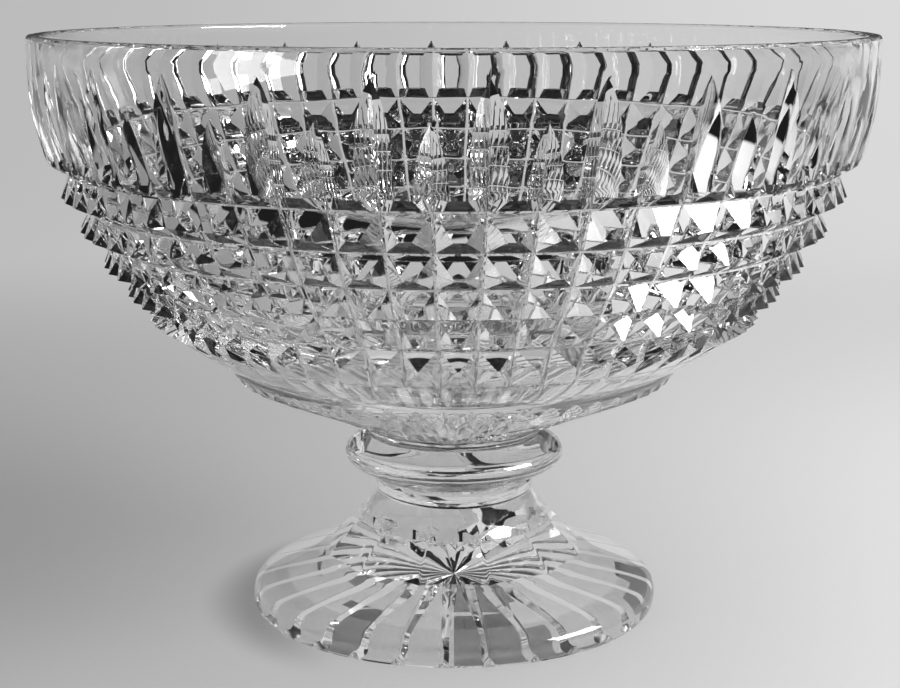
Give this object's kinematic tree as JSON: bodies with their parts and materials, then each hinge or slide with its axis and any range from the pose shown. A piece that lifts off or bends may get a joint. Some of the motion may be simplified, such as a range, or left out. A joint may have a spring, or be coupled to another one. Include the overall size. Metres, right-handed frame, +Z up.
{
  "type": "footed trifle bowl",
  "caption": "Footed trifle bowl in cut crystal: a deep bowl with pointed band cuts, rows of diamond cutting and a fluted underside, on a knop disc and a star-cut panelled foot.",
  "frame": {"origin": "centre of the foot's underside, on the surface that the bowl stands on", "axes": "+Z up along the bowl's axis of revolution; the pictured side faces -Y, with +X to the viewer's right"},
  "size_m": [0.25, 0.25, 0.1767],
  "materials": {
    "crystal": "polished"
  },
  "bodies": {
    "root": {"bowl": "crystal", "knop": "crystal", "foot": "crystal"}
  },
  "joints": []
}
